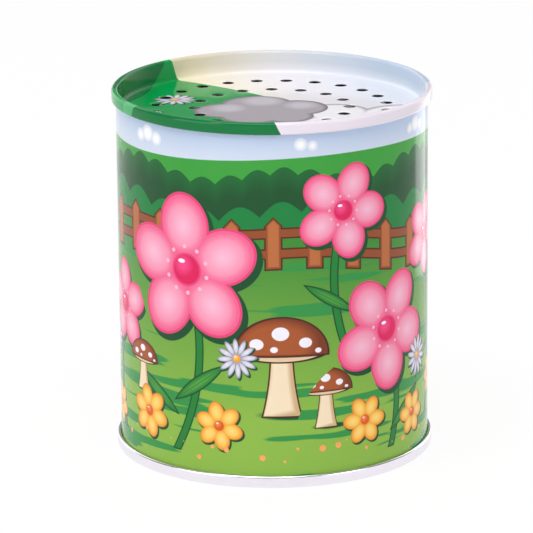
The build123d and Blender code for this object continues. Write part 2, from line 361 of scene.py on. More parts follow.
def board(name, pale, dark, fleck):
    """Grey board with fibres, flecks of darker pulp and a slightly fuzzy surface."""
    material, field = new_finish(name)
    place = place_on(field)
    fibres = place.vector("MULTIPLY", place, fibre_scale).noise(1, 6)
    colour = fibres.above(0.5, 0.35).tint(dark, pale)
    finish_with(field, {
        "Base Color": place.noise(fleck_scale, 2).above(0.66, 0.04).tint(colour, fleck),
        "Roughness": fibres * 0.2 + 0.8,
        "Normal": fibres.bump(board_fuzz),
    })
    return material


grey_board = board("grey_board", ink(178, 170, 158), ink(128, 120, 109), ink(86, 78, 70))
# Near-black board for the top ring: painted shade for the sound holes.
painted_shade_board = board("painted_shade_board", ink(36, 35, 35), ink(22, 21, 21), ink(14, 13, 13))
wear_finish(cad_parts["base_card"], grey_board)
wear_finish(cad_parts["top_card"], painted_shade_board)


# Mouldings: the cup, its cap, the weight's carrier and the reed's socket are white polystyrene.
# The stud, clamp rings, shallot and wedge are black, and the horn is red. All have a fine spark-eroded grain.
mould_grain = 5200
mould_flow = 160
mould_relief = 0.000012


def moulding(name, pale, deep, roughness):
    """Moulded plastic with slow flow marks in its colour and gloss, and a fine grain."""
    material, field = new_finish(name)
    place = place_on(field)
    flow = place.noise(mould_flow, 3)
    grain = place.noise(mould_grain, 2)
    finish_with(field, {
        "Base Color": flow.above(0.5, 0.4).tint(deep, pale),
        "Roughness": flow * 0.2 + grain * 0.1 + roughness,
        "Normal": grain.bump(mould_relief),
    })
    return material


white_moulding = moulding("white_moulding", ink(235, 233, 225), ink(229, 227, 218), 0.3)
black_moulding = moulding("black_moulding", ink(44, 44, 47), ink(30, 30, 32), 0.28)
red_moulding = moulding("red_moulding", ink(206, 52, 40), ink(184, 38, 30), 0.14)
for node in ("voice_cup", "voice_cap", "weight_carrier", "reed_socket"):
    wear_finish(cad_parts[node], white_moulding)
for node in ("flap_stud", "bellows_base_ring", "bellows_head_ring", "reed_shallot", "reed_wedge"):
    wear_finish(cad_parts[node], black_moulding)
wear_finish(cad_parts["horn"], red_moulding)


# Inlet flap: a disc die-cut from thin polyester film, loose under the stud's head.
# It is half clear, with the faint haze and waves of film off a roll.
film_wave_scale = 420
film_ripple = 0.00004

film_finish, film = new_finish("clear_film")
film_wave = place_on(film).noise(film_wave_scale, 3)
finish_with(film, {
    "Base Color": film_wave.above(0.5, 0.3).tint(ink(206, 212, 214), ink(228, 231, 231)),
    "Roughness": film_wave * 0.2 + 0.08,
    "Alpha": film_wave * 0.2 + 0.35,
    "Normal": film_wave.bump(film_ripple),
})
wear_finish(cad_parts["inlet_flap"], film_finish)


# Bellows: polythene film, pleated and welded into a tube, with a plain collar clamped at each end.
# Shut, its folds lie on each other. They open as the weight slides up.
bellows_low, bellows_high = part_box("bellows")
bellows_film = 0.0002
collar_height = 0.003
pleat_count = 6
pleat_depth = 0.0042
fold_bend = 0.00012
clamp_wall = 0.0014
clamp_fit = 0.00005
crazing_scale = 1500
crazing_depth = 0.00002
haze_scale = 220

collar_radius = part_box("bellows_base_ring")[1].x - clamp_wall - clamp_fit - bellows_film / 2
pleats_low = bellows_low.z + collar_height
pleats_high = bellows_high.z - collar_height
pleat_pitch = (pleats_high - pleats_low) / pleat_count

bellows_corners = [(collar_radius, bellows_low.z), (collar_radius, pleats_low)]
for pleat in range(pleat_count):
    bellows_corners.append((collar_radius + pleat_depth, pleats_low + (pleat + 0.5) * pleat_pitch))
    bellows_corners.append((collar_radius, pleats_low + (pleat + 1) * pleat_pitch))
bellows_corners.append((collar_radius, bellows_high.z))
bellows_line = rounded(bellows_corners, [fold_bend] * (len(bellows_corners) - 2))


def unshaped(angle, radius, height):
    """A plain turned shape."""
    return radius, height


bellows_mesh = bmesh.new()
turn(bellows_mesh, sheet_outline(bellows_line, bellows_film), round_angles(), unshaped, True)
bellows = smooth_piece("pleated_bellows", bellows_mesh)

pleat_finish, pleat_field = new_finish("bellows_film")
pleat_place = place_on(pleat_field)
crazing = pleat_place.noise(crazing_scale, 5)
haze = pleat_place.noise(haze_scale, 2)
finish_with(pleat_field, {
    "Base Color": (haze + crazing * 0.5).above(0.75, 0.4).tint(ink(186, 178, 160), ink(212, 205, 188)),
    "Roughness": crazing * 0.3 + 0.25,
    "Normal": crazing.bump(crazing_depth),
})
wear_finish(bellows, pleat_finish)
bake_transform(bellows)
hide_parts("bellows")


# Weight: a cement block, cast in a mould, grey and slightly pitted, with sand showing in it.
# It sits in the carrier's tray and is bored for the reed.
cement_pale = ink(186, 181, 172)
cement_dark = ink(140, 135, 127)
cement_sand = ink(98, 92, 85)
cement_cloud_scale = 180
cement_grit_scale = 2400
cement_pit_scale = 700
cement_pit_depth = 0.00008

cement_finish, cement = new_finish("cast_cement")
cement_place = place_on(cement)
cement_cloud = cement_place.noise(cement_cloud_scale, 6)
cement_grit = cement_place.noise(cement_grit_scale, 3)
cement_pits = cement_place.noise(cement_pit_scale, 2).below(0.34, 0.06).held()
cement_colour = cement_cloud.above(0.5, 0.3).tint(cement_dark, cement_pale)
finish_with(cement, {
    "Base Color": cement_grit.above(0.62, 0.06).tint(cement_colour, cement_sand),
    "Roughness": cement_grit * 0.15 + 0.8,
    "Normal": (cement_grit * 0.4 - cement_pits).bump(cement_pit_depth),
})
wear_finish(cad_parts["weight"], cement_finish)


# Bump ring: a ring of soft black rubber glued on the weight, which meets the cap at the end of the stroke.
# The rubber has a dusty bloom on it.
bloom_scale = 500
rubber_grain_scale = 3000
rubber_relief = 0.00002

rubber_finish, rubber = new_finish("soft_rubber")
rubber_place = place_on(rubber)
bloom = rubber_place.noise(bloom_scale, 5)
finish_with(rubber, {
    "Base Color": bloom.above(0.52, 0.25).tint(ink(36, 36, 37), ink(54, 53, 52)),
    "Roughness": bloom * 0.3 + 0.6,
    "Normal": rubber_place.noise(rubber_grain_scale, 2).bump(rubber_relief),
})
wear_finish(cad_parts["bump_ring"], rubber_finish)


# Reed tongue: a strip of rolled brass, gripped at its root by the wedge, with its tip rounded off.
# It bends over most of its free length as it sounds.
tongue_low, tongue_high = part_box("reed_tongue")
tongue_steps = 24
tongue_edge = 0.00004
tip_length_share = 0.45
tip_loss_share = 0.45
tip_crowding = 1.3
brass_draw = (9000, 9000, 400)
brass_relief = 0.000004
tarnish_scale = 600

tongue_half = tongue_high.y
tongue_tip = tongue_half * tip_length_share
tongue_mesh = bmesh.new()
tongue_rings = []
for step in range(tongue_steps + 1):
    level = tongue_low.z + (tongue_high.z - tongue_low.z) * (step / tongue_steps) ** tip_crowding
    tip_share = max(0, 1 - (level - tongue_low.z) / tongue_tip)
    half = tongue_half * (1 - tip_loss_share * tip_share ** 2)
    section = [
        (tongue_low.x, -half + tongue_edge), (tongue_low.x + tongue_edge, -half),
        (tongue_high.x - tongue_edge, -half), (tongue_high.x, -half + tongue_edge),
        (tongue_high.x, half - tongue_edge), (tongue_high.x - tongue_edge, half),
        (tongue_low.x + tongue_edge, half), (tongue_low.x, half - tongue_edge),
    ]
    tongue_rings.append([tongue_mesh.verts.new((x, y, level)) for x, y in section])
for low, high in zip(tongue_rings, tongue_rings[1:]):
    for i in range(len(low)):
        tongue_mesh.faces.new((low[i - 1], low[i], high[i], high[i - 1]))
tongue_mesh.faces.new(tongue_rings[0])
tongue_mesh.faces.new(tongue_rings[-1])
tongue = smooth_piece("brass_tongue", tongue_mesh)

brass_finish, brass = new_finish("rolled_brass")
brass_place = place_on(brass)
brass_grain = brass_place.vector("MULTIPLY", brass_place, brass_draw).noise(1, 3)
tarnish = brass_place.noise(tarnish_scale, 4)
finish_with(brass, {
    "Base Color": tarnish.above(0.55, 0.3).tint(ink(222, 184, 104), ink(186, 146, 78)),
    "Metallic": 1.0,
    "Roughness": brass_grain * 0.2 + tarnish * 0.15 + 0.12,
    "Normal": brass_grain.bump(brass_relief),
})
wear_finish(tongue, brass_finish)
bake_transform(tongue)
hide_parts("reed_tongue")


# Can body: printed tinplate, rolled round and locked in a side seam at the back, then seamed to its ends.
# The print is a generic meadow, twice round the can, under gloss varnish. The seam's margin is left bare.
rim_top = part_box("perforated_top")[1].z
hook_out_radius = seam_radius - layer
side_seam_rise = 0.00009
side_fold_steepness = 3
side_line_width = 0.0005
side_line_depth = 0.00012
wall_wave = 0.00003
wall_wave_scale = 2.2
wall_rows = 40
seam_steps = 60

hook_low = plate / 2 + 2 * layer
hook_reach = 0.0014
wall_corners = [
    (hook_out_radius, hook_low + hook_reach),
    (hook_out_radius, hook_low - layer),
    (wall_radius - plate / 2, hook_low - layer),
    (wall_radius - plate / 2, rim_top - hook_low + layer),
    (hook_out_radius, rim_top - hook_low + layer),
    (hook_out_radius, rim_top - hook_low - hook_reach),
]
wall_line = rounded(wall_corners, [hook_bend] * 4)
straight = len(wall_line) // 2
wall_start = wall_line[straight - 1]
wall_run = wall_line[straight] - wall_start
wall_line[straight:straight] = [wall_start + wall_run * (row / wall_rows) for row in range(1, wall_rows)]


def wall_shape(angle, radius, height):
    """The wall: slow waves in the sheet, and at the back the raised fold and the line of the side seam."""
    if abs(radius - wall_radius) > plate:
        return radius, height
    place = Vector((cos(angle), sin(angle), height / wall_radius)) * wall_wave_scale
    fold = min(1, side_fold_steepness * bell(from_back(angle), side_seam_width))
    line = bell(from_back(angle) - side_seam_width / 2, side_line_width)
    swell = wall_wave * noise.noise(place) + side_seam_rise * fold - side_line_depth * line
    return radius + swell, height


seam_angles = [
    pi / 2 + (step / seam_steps - 0.5) * side_swell_width / wall_radius for step in range(seam_steps + 1)
]
wall_mesh = bmesh.new()
turn(wall_mesh, sheet_outline(wall_line, plate), round_angles(seam_angles), wall_shape, True)
can_body = smooth_piece("printed_wall", wall_mesh)

millimetres = 1000
print_radius = wall_radius * millimetres
print_soft = 0.09
sky_low = ink(207, 217, 234)
sky_high = ink(180, 200, 230)
cloud_white = ink(248, 249, 253)
cloud_shade = ink(214, 220, 236)
hill_far = ink(58, 156, 58)
tree_dark = ink(18, 78, 38)
tree_mid = ink(22, 100, 46)
hedge_green = ink(16, 126, 58)
meadow_back = ink(58, 136, 48)
meadow_front = ink(138, 182, 70)
streak_green = ink(48, 144, 68)
shadow_green = ink(12, 74, 38)
leaf_green = ink(30, 126, 50)
leaf_pale = ink(96, 170, 66)
sky_height = 71
hill_height = 68
tree_height = 64
tree_shade = 2.4
hedge_height = 56.4
brow_height = 53
streak_top = 46
streak_scale = (26, 26, 330)
meadow_middle = 32
meadow_fade = 36

wall_finish, wall = new_finish("meadow_print")
wall_place = place_on(wall)
wall_x, wall_y, wall_z = parts(wall_place)
wall_angle = wall.math("ARCTAN2", wall_x, 0 - wall_y)
half_turn = wall.math("WRAP", wall_angle, pi / 2, -pi / 2)
across = half_turn * print_radius
up = wall_z * millimetres
wall_spot = wall.node("CombineXYZ", {}, {0: across, 1: up})


def wave(count, rise, phase):
    """A wave round the can, with so many crests to a print."""
    swing = half_turn * (2 * count) + phase
    return swing.math("SINE", swing) * rise


def far_from(spot, place):
    """Distance from a place on the print."""
    return spot.vector("DISTANCE", spot, (place[0], place[1], 0), output=1)


def length(vector):
    """How long a vector is."""
    return vector.vector("LENGTH", vector, output=1)


def oval(spot, place, half_width, half_height):
    """Rough distance outside an oval."""
    scale = (1 / half_width, 1 / half_height, 0)
    shift = (-place[0] / half_width, -place[1] / half_height, 0)
    return (length(spot.vector("MULTIPLY_ADD", spot, scale, shift)) - 1) * min(half_width, half_height)


def joined(shapes):
    """Distance outside the nearest of some shapes."""
    nearest = shapes[0]
    for shape in shapes[1:]:
        nearest = nearest.least(shape)
    return nearest


def puffs(spot, places):
    """Distance outside a cloud of round puffs, each with its place and radius."""
    return joined([far_from(spot, place) - place[2] for place in places])


art = up.above(sky_height, 6).tint(sky_low, sky_high)
cloud = puffs(wall_spot, [
    (-31, 70.4, 1.4), (-28.6, 71.1, 1.8), (-26, 70.4, 1.5), (5.6, 71.3, 1.4), (8.0, 70.9, 1.1),
    (33.5, 70.6, 1.2), (35.8, 71.1, 1.7), (38.4, 70.5, 1.3)])
art = cloud.below(0, print_soft).tint(art, cloud_shade)
art = cloud.below(-0.5, 0.9).tint(art, cloud_white)

art = (up - wave(1, 0.8, 0.5)).below(hill_height, print_soft).tint(art, hill_far)
tree_top = wave(3, 1.3, 1.2) + abs(wave(9, 1.5, 0.3))
art = (up - tree_top).below(tree_height, print_soft).tint(art, tree_mid)
art = (up - tree_top).below(tree_height - tree_shade, 4).tint(art, tree_dark)
hedge_top = wave(2, 1.2, 0.4) + abs(wave(6, 2.6, 1.0))
art = (up - hedge_top).below(hedge_height, print_soft).tint(art, hedge_green)

brow = up - wave(1, 1.6, 2.4) - wave(2, 1.0, 0.2)
meadow = up.below(meadow_middle, meadow_fade).tint(meadow_back, meadow_front)
art = brow.below(brow_height, print_soft).tint(art, meadow)
grass = wall_place.vector("MULTIPLY", wall_place, streak_scale).noise(1, 2)
art = grass.above(0.565, 0.02).least(brow.below(streak_top, 4)).tint(art, streak_green)

fence_pale = ink(184, 106, 58)
fence_brown = ink(146, 74, 36)
fence_dark = ink(78, 34, 20)
fence_foot = 44.6
fence_height = 10.4
fence_line = 0.34
picket_count = 24
picket_half = 1.5
picket_pitch = tau * print_radius / picket_count
rail_half = 0.8
rail_middle = 5.2
rail_spread = 2.1

fence_up = brow - fence_foot
picket_from = across.math("PINGPONG", across, picket_pitch / 2)
pickets = (picket_from - picket_half).most(fence_up + picket_from - fence_height).most(0 - fence_up)
rail_from = abs(abs(fence_up - rail_middle) - rail_spread)
fence = pickets.least(rail_from - rail_half)
art = fence.below(fence_line, print_soft).tint(art, fence_dark)
art = fence.below(0, print_soft).tint(art, fence_brown)
art = pickets.below(-0.4, 0.3).tint(art, fence_pale)


def blade(spot, root, tip, fatness):
    """Distance outside a leaf with two bowed edges, from root to tip, and how far a point is from its rib."""
    root, tip = Vector(root), Vector(tip)
    half = (tip - root) / 2
    side = Vector((-half.y, half.x)) / fatness
    left = far_from(spot, root + half + side)
    right = far_from(spot, root + half - side)
    return left.most(right) - hypot(half.length, side.length), abs(left - right)


def stalk(spot, foot, head, bow):
    """Distance outside a thin stalk that follows an arc from foot to head."""
    foot, head = Vector(foot), Vector(head)
    half = (head - foot) / 2
    side = Vector((-half.y, half.x)) * bow
    arc = abs(far_from(spot, foot + half + side) - hypot(half.length, side.length))
    return arc.most(far_from(spot, foot + half) - half.length)


stalk_half = 0.65
leaf_line = 0.3
rib_half = 0.2
rib_short = 0.35
stalks = joined([stalk(wall_spot, *route) for route in (
    ((-21, 7), (-18.5, 44), 2.2),
    ((17, 24), (14.5, 56), -2.4),
    ((27, 6), (25.5, 30), 2.6),
    ((-41, 7), (-39.5, 32), -2.2),
    ((43, 9), (41.5, 46), 3.0),
)])
art = stalks.below(stalk_half + leaf_line, print_soft).tint(art, shadow_green)
art = stalks.below(stalk_half, print_soft).tint(art, leaf_green)
blades = [blade(wall_spot, *route) for route in (
    ((-21.3, 14), (-31.5, 21), 0.36),
    ((-21.3, 17), (-10.5, 25), 0.36),
    ((26.9, 9), (36.5, 16), 0.38),
    ((-41, 12), (-48.5, 18), 0.38),
    ((16.6, 36), (6.6, 42), 0.36),
    ((42.2, 22), (49.4, 29), 0.36),
)]
leaves = joined([edge for edge, rib in blades])
ribs = joined([rib.most(edge + rib_short) for edge, rib in blades])
art = leaves.below(leaf_line, print_soft).tint(art, shadow_green)
art = leaves.below(0, print_soft).tint(art, leaf_green)
art = leaves.below(-0.7, 1.2).tint(art, leaf_pale)
art = ribs.below(rib_half, 0.1).tint(art, leaf_green)


def nearest_motif(spot, places):
    """A point's place in the nearest of some round motifs, in radii of that motif, and a draw for it."""
    least_gap = None
    for place in places:
        gap = far_from(spot, place) - place[2]
        motif = (place[0], place[1], 1 / place[2])
        if least_gap is None:
            chosen, least_gap = motif, gap
            continue
        nearer = gap.math("LESS_THAN", gap, least_gap)
        chosen = nearer.node("Mix", {"data_type": "VECTOR"}, {0: nearer, 4: chosen, 5: motif}, 1)
        least_gap = least_gap.least(gap)
    draw, _, scale = parts(chosen)
    scales = spot.node("CombineXYZ", {}, {0: scale, 1: scale})
    offset = spot.vector("SUBTRACT", spot, chosen)
    return offset.vector("MULTIPLY", offset, scales), draw


def in_wedge(angle, radius, count):
    """A point's place in one of some like wedges: along the wedge's centre line, and beside it."""
    fold = angle.math("PINGPONG", angle, pi / count)
    along = radius * fold.math("COSINE", fold)
    beside = radius * fold.math("SINE", fold)
    return angle.node("CombineXYZ", {}, {0: along, 1: beside})


def petal_ring(local, count, turned, shares):
    """Rough distance outside a ring of oval petals, the angle round it and the distance from its middle."""
    middle_share, length_share, width_share = shares
    side, rise, _ = parts(local)
    angle = local.math("ARCTAN2", rise, side) + turned
    radius = length(local)
    edge = oval(in_wedge(angle, radius, count), (middle_share, 0), length_share, width_share)
    return edge, angle, radius


petal_turn = 0.7
shade_shift_shares = (-0.055, 0.06, 0)
shade_share = 0.02
petal_line_share = 0.03
petal_mid_share = 0.1
petal_pale_share = 0.24
dot_ring_share = 0.3
dot_share = 0.026
eye_share = 0.19
eye_line_share = 0.025
glint_shares = (0.05, 0.026)


def flowers(art, spot, places, count, shares, inks, dots):
    """Flowers seen from the front: outlined petals, paler to their middles, and a domed eye with a glint."""
    outline, deep, mid, pale, eye_deep, eye_pale = inks
    soft = print_soft / places[0][2]
    local, draw = nearest_motif(spot, places)
    turned = draw * petal_turn
    shade, _, _ = petal_ring(local.vector("ADD", local, shade_shift_shares), count, turned, shares)
    art = shade.below(shade_share, soft).tint(art, shadow_green)
    edge, angle, radius = petal_ring(local, count, turned, shares)
    art = edge.below(0, soft).tint(art, outline)
    art = edge.below(-petal_line_share, soft).tint(art, deep)
    art = edge.below(-petal_mid_share, 0.09).tint(art, mid)
    art = edge.below(-petal_pale_share, 0.24).tint(art, pale)
    art = radius.below(0.22, 0.2).tint(art, deep)
    if dots:
        dot = far_from(in_wedge(angle, radius, dots), (dot_ring_share, 0))
        art = dot.below(dot_share, soft).tint(art, pale)
    art = radius.below(eye_share + eye_line_share, soft).tint(art, outline)
    art = radius.below(eye_share, soft).tint(art, eye_deep)
    art = far_from(local, (-0.05, 0.06)).below(0.1, 0.12).tint(art, eye_pale)
    return oval(local, (-0.07, 0.105), *glint_shares).below(0, soft).tint(art, cloud_white)


pink_inks = [ink(*levels) for levels in (
    (230, 66, 120), (240, 98, 144), (244, 142, 174), (246, 186, 210), (222, 22, 90), (242, 70, 136))]
yellow_inks = [ink(*levels) for levels in (
    (222, 126, 42), (240, 162, 56), (250, 194, 84), (254, 220, 132), (222, 88, 30), (246, 136, 62))]
white_inks = [ink(*levels) for levels in (
    (150, 146, 168), (206, 204, 220), (234, 232, 242), (250, 249, 253), (240, 158, 54), (252, 204, 96))]
round_petals = (0.56, 0.44, 0.37)
cup_petals = (0.55, 0.45, 0.33)
slim_petals = (0.6, 0.4, 0.14)

pink_places = [
    (-18.5, 44.5, 16.0), (14.5, 57.0, 10.2), (41.5, 47.0, 9.0), (-40, 33.0, 9.6), (25.5, 30.5, 13.0)]
art = flowers(art, wall_spot, pink_places, 5, round_petals, pink_inks, 10)

cap_brown = ink(166, 84, 40)
cap_deep = ink(120, 54, 26)
cap_dark = ink(66, 28, 18)
cap_spot = ink(240, 236, 246)
gill_pale = ink(226, 196, 160)
foot_pale = ink(242, 222, 190)
foot_deep = ink(208, 172, 130)
cap_line_share = 0.03


def toadstools(art, spot, places):
    """Toadstools: a pale stalk that swells at its foot, under a brown cap with white spots."""
    soft = print_soft / places[0][2]
    local, _ = nearest_motif(spot, places)
    side, rise, _ = parts(local)
    art = oval(local, (0.16, -0.93), 0.55, 0.09).below(0, 0.04).tint(art, shadow_green)
    drop = 0.3 - rise
    column = (abs(side) - drop * drop * 0.1 - 0.19).most(-0.95 - rise).most(rise - 0.4)
    art = column.below(cap_line_share, soft).tint(art, cap_dark)
    art = column.below(0, soft).tint(art, foot_deep)
    art = (column + side * 0.25).below(-0.05, 0.1).least(column.below(-0.01, soft)).tint(art, foot_pale)
    gills = oval(local, (0, 0.24), 0.74, 0.15)
    art = gills.below(cap_line_share, soft).tint(art, cap_dark)
    art = gills.below(0, soft).tint(art, gill_pale)
    dome = oval(local, (0, 0.22), 0.86, 0.7).most(0.2 - rise)
    art = dome.below(cap_line_share, soft).tint(art, cap_dark)
    art = dome.below(0, soft).tint(art, cap_deep)
    on_cap = dome.below(-0.02, soft)
    lit_side = oval(local, (-0.1, 0.42), 0.68, 0.42).below(0, 0.16)
    art = lit_side.least(on_cap).tint(art, cap_brown)
    dots = joined([oval(local, (across_at, up_at), size, size * 0.8) for across_at, up_at, size in (
        (-0.46, 0.42, 0.13), (-0.02, 0.62, 0.16), (0.44, 0.44, 0.12),
        (-0.14, 0.32, 0.07), (0.68, 0.28, 0.06))])
    return dots.below(0, soft).least(on_cap).tint(art, cap_spot)


art = toadstools(art, wall_spot, [(1.5, 25.5, 11.0), (10.6, 18.5, 6.6), (-31.5, 22.0, 5.6)])
daisy_places = [(-7.6, 27.0, 4.2), (-47.5, 24.0, 3.8), (37.0, 22.0, 4.4)]
art = flowers(art, wall_spot, daisy_places, 12, slim_petals, white_inks, 0)
yellow_places = [
    (-11.5, 12.5, 5.2), (-29.5, 12.6, 5.6), (19.5, 12.4, 5.2),
    (-44.5, 10.5, 4.6), (34.5, 10.5, 4.8), (46.5, 15.5, 4.4)]
art = flowers(art, wall_spot, yellow_places, 6, cup_petals, yellow_inks, 0)

seed_orange = ink(246, 164, 96)
seed_count = 56
seed_low = 4.6
seed_band = 5.5
seed_size = 0.85
seed_loss = 0.15
seed_pitch = tau * print_radius / seed_count
seed_along = across * (1 / seed_pitch)
seed_cell = seed_along.math("FLOOR", seed_along)
seed_draw = wall.node("TexWhiteNoise", {"noise_dimensions": "1D"}, {"W": seed_cell}, 1)
draw_side, draw_rise, draw_size = parts(seed_draw)
seed_side = seed_along - seed_cell - draw_side * 0.6 - 0.2
seed_rise = up - draw_rise * seed_band - seed_low
seed = wall.node("CombineXYZ", {}, {0: seed_side * seed_pitch, 1: seed_rise})
art = (length(seed) - draw_size * seed_size).below(-seed_loss, print_soft).tint(art, seed_orange)

varnish_shine = 0.28
varnish_ripple = 0.00001
peel_scale = 900


def varnish(place, smear_scale):
    """Roughness and height of gloss varnish on a print: fine orange peel, and slow smears."""
    peel = place.noise(peel_scale, 2)
    smear = place.noise(smear_scale, 4)
    return smear * 0.07 + peel * 0.03 + 0.07, peel * 0.6 + smear * 0.4


margin_width = 0.0032
margin_soft = 0.0001
margin_bright = ink(234, 231, 238)
margin_dull = ink(198, 196, 203)
margin_line_scale = (5200, 5200, 90)
wall_smear_scale = 60
wall_reach = length(wall_place.vector("MULTIPLY", wall_place, (1, 1, 0)))
inner_side = wall_reach.below(wall_radius - plate * 0.7, plate * 0.2)
lap_shift = (side_seam_width - margin_width) / 2
margin = abs(wall_x + lap_shift).below(margin_width / 2, margin_soft).least(wall_y.above(0, 0.001))
bare = inner_side.most(margin).held()
margin_lines = wall_place.vector("MULTIPLY", wall_place, margin_line_scale).noise(1, 3)
margin_tin = margin_lines.above(0.5, 0.3).tint(margin_dull, margin_bright)
wall_gloss, wall_ripple = varnish(wall_place, wall_smear_scale)
finish_with(wall, {
    "Base Color": bare.tint(art, margin_tin),
    "Metallic": bare,
    "Roughness": wall_gloss + bare * margin_lines * 0.4,
    "Specular IOR Level": varnish_shine,
    "Normal": wall_ripple.bump(varnish_ripple),
})
wear_finish(can_body, wall_finish)
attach(can_body, "casing")
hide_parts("can_body")


# Perforated top: printed tinplate, drawn into a shallow pan, punched with two rings of sound holes and
# seamed on. The punch leaves each hole's upper edge rolled down and its lower edge burred. The print, of
# hills and cloud, was laid on the flat sheet.
top_seam_height = 0.0025
panel_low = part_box("perforated_top")[0].z
panel_top = panel_low + plate
hole_radius = 0.00125
outer_count = 24
inner_count = 16
outer_holes = (0.0238, outer_count, pi / outer_count)
inner_holes = (0.0159, inner_count, 0)
ring_edges = (0.0119, 0.01985, 0.0279)
middle_ring = 0.006
panel_steps = 192
cell_steps = 16
burr = 0.00002
roll_profile = ((0.0005, 0), (0.00022, 0.000012), (0.00008, 0.00004), (0, 0.0001))
burr_profile = ((0, plate + burr), (0.00012, plate + burr / 2), (0.0003, plate))


def hole_cell(mesh, radius, middle, count, edges):
    """One punched hole and its share of the panel, both faces, out to the next cells."""
    inner_edge, outer_edge = edges
    steps = panel_steps // count
    side_steps = cell_steps - steps
    half = pi / count
    arcs = [middle - half + 2 * half * step / steps for step in range(steps)]
    radials = [step / side_steps for step in range(side_steps)]
    border = [(inner_edge, angle) for angle in arcs]
    border += [(inner_edge + (outer_edge - inner_edge) * share, middle + half) for share in radials]
    border += [(outer_edge, 2 * middle - angle) for angle in arcs]
    border += [(outer_edge + (inner_edge - outer_edge) * share, middle - half) for share in radials]
    points = [Vector((reach * cos(angle), reach * sin(angle))) for reach, angle in border]
    centre = Vector((radius * cos(middle), radius * sin(middle)))
    rays = [(point - centre).normalized() for point in points]
    loops = [[(point.x, point.y, panel_top) for point in points]]
    for reach, drop in roll_profile + burr_profile:
        ring = [centre + ray * (hole_radius + reach) for ray in rays]
        loops.append([(point.x, point.y, panel_top - drop) for point in ring])
    loops.append([(point.x, point.y, panel_low) for point in points])
    rings = [[mesh.verts.new(point) for point in loop] for loop in loops]
    for step, (low, high) in enumerate(zip(rings, rings[1:])):
        for i in range(len(low)):
            face = mesh.faces.new((low[i - 1], low[i], high[i], high[i - 1]))
            # The hole's wall takes the second material, painted near black as painted shade.
            face.material_index = int(step == len(roll_profile))


top_line = end_line([(ring_edges[2], panel_low + plate / 2)], [], rim_top, top_seam_height, 1)
top_angles = [pi / 2 + tau * step / panel_steps for step in range(panel_steps)]
top_mesh = bmesh.new()
turn(top_mesh, sheet_outline(top_line, plate), top_angles, rolled(rim_top, top_seam_height, 1), False)
middle_outline = [(ring_edges[0], panel_top), (middle_ring, panel_top), (0, panel_top)]
turn(top_mesh, middle_outline, top_angles, unshaped, False)
turn(top_mesh, [(radius, panel_low) for radius, _ in middle_outline], top_angles, unshaped, False)
for (radius, count, offset), edges in ((inner_holes, ring_edges[:2]), (outer_holes, ring_edges[1:])):
    for hole in range(count):
        middle = pi / 2 + offset + tau * hole / count
        hole_cell(top_mesh, radius, middle, count, edges)
perforated_top = smooth_piece("printed_top", top_mesh)

lid_cream = ink(248, 239, 206)
lid_pearl = ink(240, 236, 242)
lid_pale_blue = ink(222, 231, 243)
# Darker copies of the sky colours for the chuck wall and rim, where the sheet turns up: painted shade.
shaded_sand = ink(222, 211, 180)
shaded_mist = ink(219, 219, 220)
shaded_blue = ink(188, 204, 224)
lid_green = ink(6, 156, 76)
lid_deep = ink(2, 116, 58)
lid_pale = ink(70, 172, 108)
lid_grey = ink(176, 168, 176)
lid_dusk = ink(132, 124, 134)
lid_silver = ink(202, 196, 206)
lid_white = ink(248, 246, 250)
# Lilac copy of the cloud white for the rim: painted shade.
shaded_lilac = ink(231, 222, 233)
lid_soft = 0.1
turn_up = 32.6
turn_up_soft = 2.4
crest_soft = 0.00002
top_smear_scale = 70

top_finish, top = new_finish("hill_print")
top_place = place_on(top)
top_x, top_y, top_z = parts(top_place)
top_reach = length(top_place.vector("MULTIPLY", top_place, (1, 1, 0)))
outer_wall = top_reach.above((chuck_radius + seam_radius) / 2, crest_soft).held()
climb = top_z - panel_top
drawn = (climb + ((rim_top - panel_top) * 2 - climb - climb) * outer_wall).most(0)
flat_share = (top_reach + drawn) / top_reach.most(0.0001) * millimetres
sheet_x = top_x * flat_share
sheet_y = top_y * flat_share
lid_spot = top.node("CombineXYZ", {}, {0: sheet_x, 1: sheet_y})

# Past the turn-up, the sky and cloud bank take their darker copies: painted shade on the chuck wall and rim.
rim_shade_mask = length(lid_spot).above(turn_up, turn_up_soft)
creamy = (sheet_x + sheet_y * 0.3).above(-1, 22)
bluish = (sheet_x + sheet_y * 0.4).above(26, 24)
lid_sky = bluish.tint(creamy.tint(lid_cream, lid_pearl), lid_pale_blue)
shaded_rim_sky = bluish.tint(creamy.tint(shaded_sand, shaded_mist), shaded_blue)
lid_art = rim_shade_mask.tint(lid_sky, shaded_rim_sky)
for place, radius, green in (
    ((-70, -55), 94, lid_green),
    ((-52, 20), 27, lid_deep),
    ((-24, -52), 38, lid_pale),
    ((-30, -66), 46, lid_deep),
):
    lid_art = far_from(lid_spot, place).below(radius, lid_soft).tint(lid_art, green)
bank = puffs(lid_spot, [(17, -17, 12), (27, -9, 10), (38, -7, 9), (9, -34, 9), (29, -29, 16), (13, -5, 7)])
lid_art = bank.below(0, lid_soft).tint(lid_art, rim_shade_mask.tint(lid_grey, shaded_lilac))
lid_art = bank.below(-0.9, 1.2).tint(lid_art, rim_shade_mask.tint(lid_white, shaded_lilac))
gloom = puffs(lid_spot, [(-10, -3, 6), (-3, 2, 7.5), (5, -1, 6.5), (-4, -7, 7), (3, -8, 5.5)])
lid_art = gloom.below(0, lid_soft).tint(lid_art, lid_dusk)
lid_art = gloom.below(-0.8, 1.0).tint(lid_art, lid_grey)
gleam = puffs(lid_spot, [(-9, -1, 3.6), (-2, 5, 4.2), (6, 1, 3.4)])
lid_art = gleam.below(-0.6, 2.4).tint(lid_art, lid_silver)
lid_daisies = [(-20, 7, 4.4), (-23, -12, 4.8)]
lid_art = flowers(lid_art, lid_spot, lid_daisies, 12, slim_petals, white_inks, 0)

